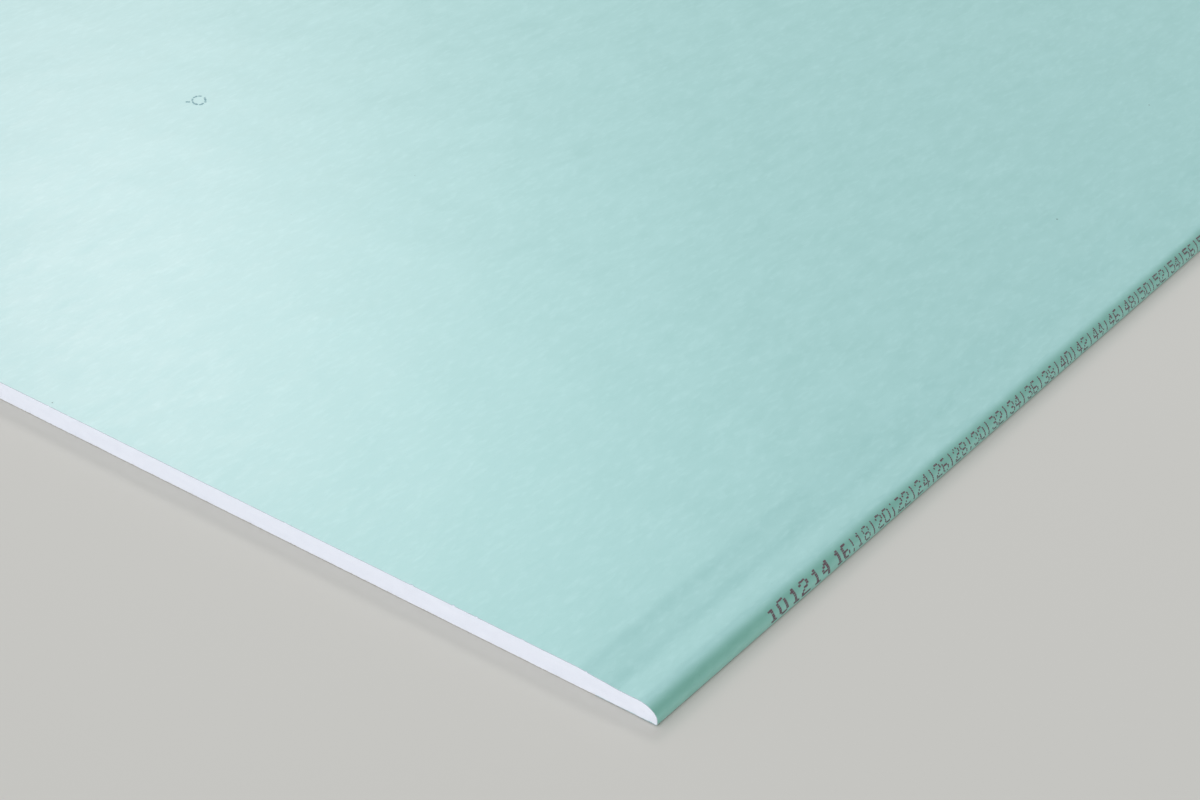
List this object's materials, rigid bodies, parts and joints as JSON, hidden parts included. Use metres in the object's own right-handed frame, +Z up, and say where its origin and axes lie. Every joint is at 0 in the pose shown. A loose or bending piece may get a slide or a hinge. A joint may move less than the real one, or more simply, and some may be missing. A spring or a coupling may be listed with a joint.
{
  "type": "drywall sheet",
  "caption": "Paper-faced gypsum drywall sheet, mint green face, half-round tapered long edges wrapped in the face paper, square cut ends showing the white core.",
  "frame": {"origin": "middle of the back, in the plane that the sheet lies on", "axes": "+X across the sheet's width, +Y along its length, +Z up out of the green face; the sheet lies flat, face up"},
  "size_m": [1.25, 2, 0.0125],
  "materials": {
    "gypsum": "sawn, matt, fine pores",
    "green_face_paper": "calendered liner paper, matt, faint fibres",
    "grey_back_paper": "recycled liner paper, matt, flecked"
  },
  "bodies": {
    "root": {"gypsum_core": "gypsum", "face_paper": "green_face_paper", "back_paper": "grey_back_paper"}
  },
  "joints": []
}
